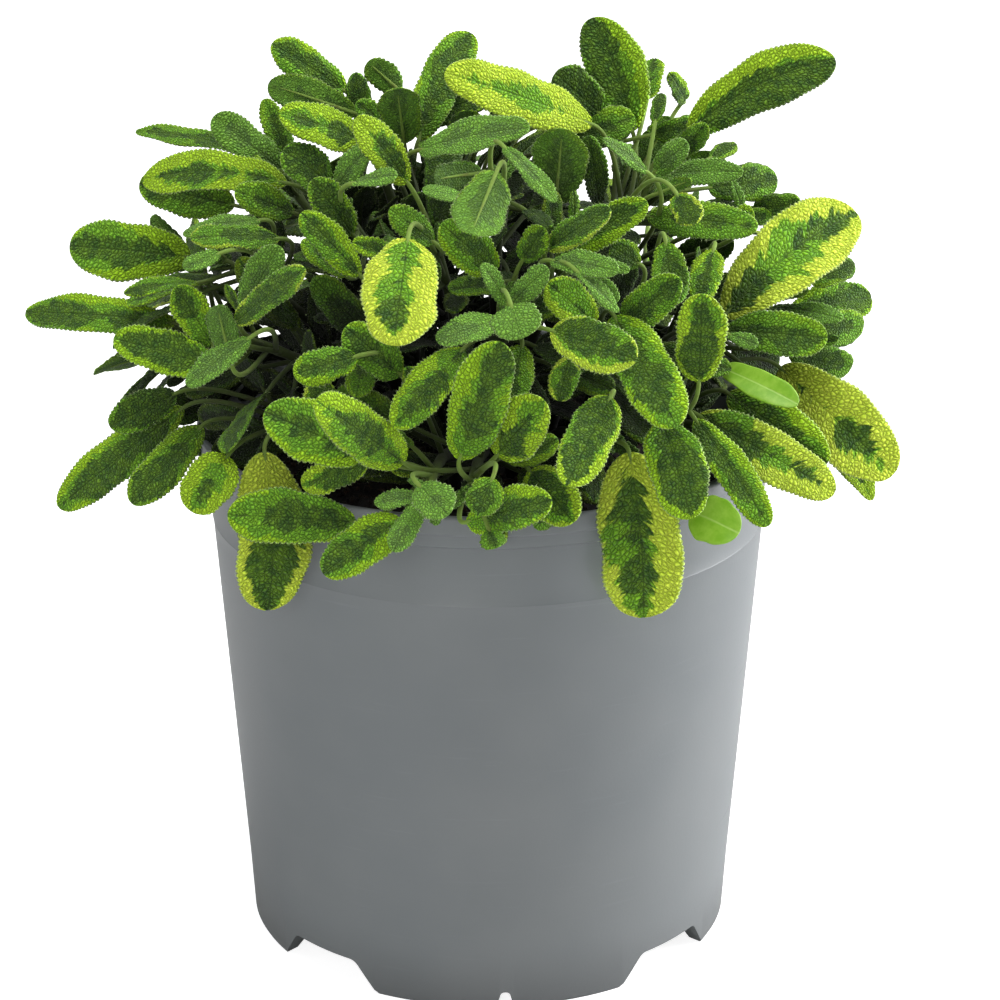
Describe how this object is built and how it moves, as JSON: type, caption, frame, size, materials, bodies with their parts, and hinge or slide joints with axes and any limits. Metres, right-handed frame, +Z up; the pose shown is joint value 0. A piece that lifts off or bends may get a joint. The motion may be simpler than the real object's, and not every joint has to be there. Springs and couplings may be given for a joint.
{
  "type": "potted sage",
  "caption": "Variegated sage bush with oblong net-veined leaves, growing in a round grey nursery pot with a lip and drainage arches.",
  "frame": {"origin": "on the floor, at the middle of the whole object's outline seen from above", "axes": "+Z up, -Y towards the side that the picture shows, +X to the right of that side"},
  "size_m": [0.2316, 0.213, 0.2465],
  "materials": {
    "pot": "satin grey moulded polypropylene with fine scratches",
    "soil": "dark damp peat, crumbly and matt",
    "sage_leaf": "matt felted leaf, green centre with lime and yellow margin, pebbled net relief",
    "seedling": "smooth soft leaf with a slight sheen"
  },
  "bodies": {
    "root": {"pot": "pot", "soil": "soil", "shoot_upper_left": "sage_leaf", "shoot_top_left": "sage_leaf", "shoot_top": "sage_leaf", "shoot_inner_left": "sage_leaf", "shoot_yellow_leaf": "sage_leaf", "shoot_inner_top": "sage_leaf", "shoot_middle": "sage_leaf", "shoot_inner_right": "sage_leaf", "shoot_top_right": "sage_leaf", "shoot_right": "sage_leaf", "shoot_lower_mid": "sage_leaf", "shoot_lower_right": "sage_leaf", "shoot_front_right": "sage_leaf", "shoot_front_mid": "sage_leaf", "shoot_front_left": "sage_leaf", "shoot_low_left": "sage_leaf", "shoot_left": "sage_leaf", "shoot_left_upper": "sage_leaf", "shoot_inner_low": "sage_leaf", "smooth_leaved_seedling": "seedling", "shoot_far_right": "sage_leaf", "shoot_far_right_back": "sage_leaf", "shoot_far_back_right": "sage_leaf", "shoot_far_back_left": "sage_leaf", "shoot_far_left_back": "sage_leaf", "shoot_far_left": "sage_leaf", "shoot_crown_right": "sage_leaf", "shoot_crown_back": "sage_leaf", "shoot_crown_left": "sage_leaf", "shoot_crown_top": "sage_leaf"}
  },
  "joints": []
}
